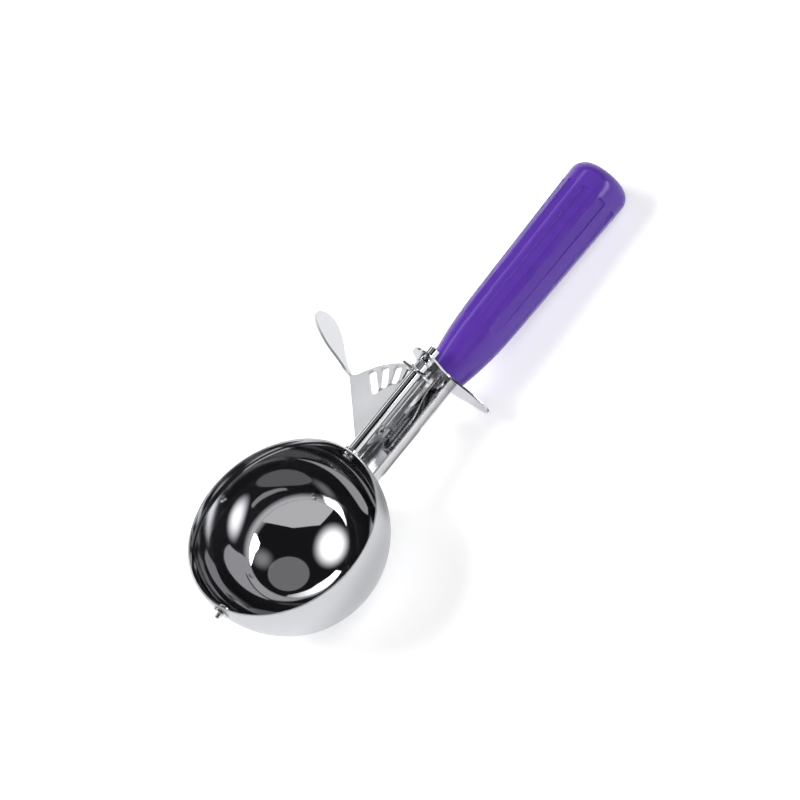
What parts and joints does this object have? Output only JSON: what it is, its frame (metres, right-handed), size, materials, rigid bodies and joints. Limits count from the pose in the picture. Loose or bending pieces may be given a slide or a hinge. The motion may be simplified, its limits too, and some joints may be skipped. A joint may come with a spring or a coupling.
{
  "type": "lever ice cream scoop",
  "caption": "Thumb-press ice cream scoop: polished bowl with a sweeping scraper blade, slotted sector lever and star pinion, finger guard, fluted violet handle.",
  "frame": {"origin": "centre of the bowl's sphere, on the axis of the drive shaft", "axes": "+X along the drive shaft from the bowl to the handle, +Z out of the bowl's mouth, +Y the thumb side"},
  "size_m": [0.2352, 0.1018, 0.0469],
  "materials": {
    "polished_stainless": "mirror polished inside, satin outside",
    "bright_stainless": "bright rolled",
    "pressed_stainless": "tumbled satin",
    "blade_stainless": "bright rolled strip",
    "chromed_steel": "bright",
    "spring_steel": "bright strip",
    "rivet_steel": "satin",
    "violet_plastic": "gloss moulded"
  },
  "bodies": {
    "frame": {"bowl": "polished_stainless", "shaft_bush_bowl": "chromed_steel", "tip_bush": "chromed_steel", "shaft_bush_guard": "chromed_steel", "shank_channel": "bright_stainless", "pivot_rivet": "rivet_steel", "pivot_spacer": "rivet_steel", "pivot_washer": "rivet_steel", "return_spring": "spring_steel", "spring_anchor": "rivet_steel", "spring_rivet": "rivet_steel", "finger_guard": "bright_stainless", "handle_tang": "rivet_steel", "tang_rivets": "rivet_steel", "handle_grip": "violet_plastic"},
    "lever": {"thumb_lever": "pressed_stainless"},
    "scraper": {"drive_shaft": "chromed_steel", "pinion": "pressed_stainless", "pinion_washer": "rivet_steel", "scraper_blade": "blade_stainless", "tip_pin": "rivet_steel", "blade_retainer": "chromed_steel"}
  },
  "joints": [
    {"name": "lever_swing", "type": "hinge", "parent": "frame", "child": "lever", "pos_m": [0.055, 0, -0.00475], "axis": [0, 0, -1], "range_deg": [0, 32.58], "stiffness_Nm_per_rad": 0.5, "springref_deg": -20.05, "deforming": ["return_spring"]},
    {"name": "scraper_sweep", "type": "hinge", "parent": "frame", "child": "scraper", "pos_m": [0, 0, 0], "axis": [-1, 0, 0], "range_deg": [0, 170]}
  ],
  "couplings": [
    {"joint": "scraper_sweep", "follows": "lever_swing", "ratio": 5.2174}
  ]
}
